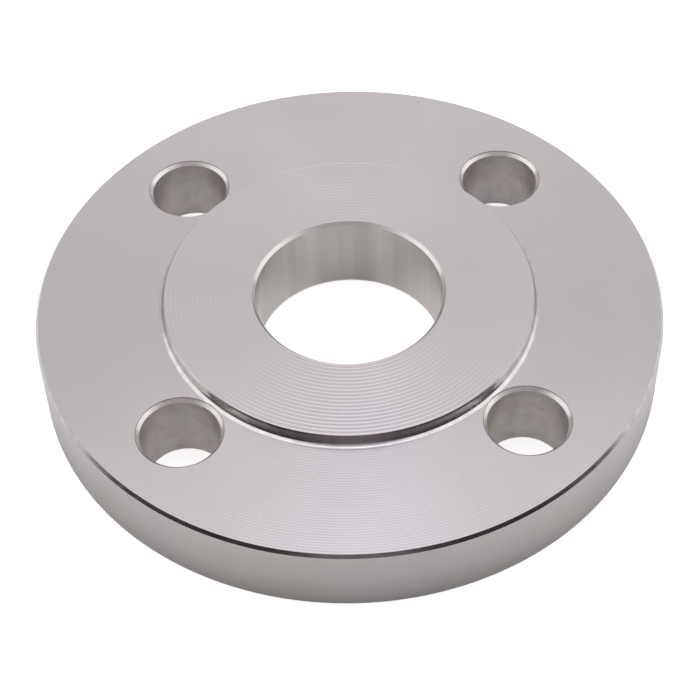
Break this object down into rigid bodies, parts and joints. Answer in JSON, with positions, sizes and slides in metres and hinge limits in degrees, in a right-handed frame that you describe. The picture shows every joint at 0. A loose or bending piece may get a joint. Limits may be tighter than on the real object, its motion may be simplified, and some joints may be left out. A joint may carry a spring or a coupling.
{
  "type": "slip on flange",
  "caption": "Round stainless steel slip-on plate flange with a raised serrated gasket face, a through bore for the pipe and bolt holes on a circle round it.",
  "frame": {"origin": "centre of the bore on the weld side, which the flange lies on", "axes": "+Z along the bore from the weld side to the gasket face, +X midway between two bolt holes"},
  "size_m": [0.115, 0.115, 0.016],
  "materials": {
    "stainless_steel": "turned, bare stainless steel"
  },
  "bodies": {
    "root": {"flange": "stainless_steel"}
  },
  "joints": []
}
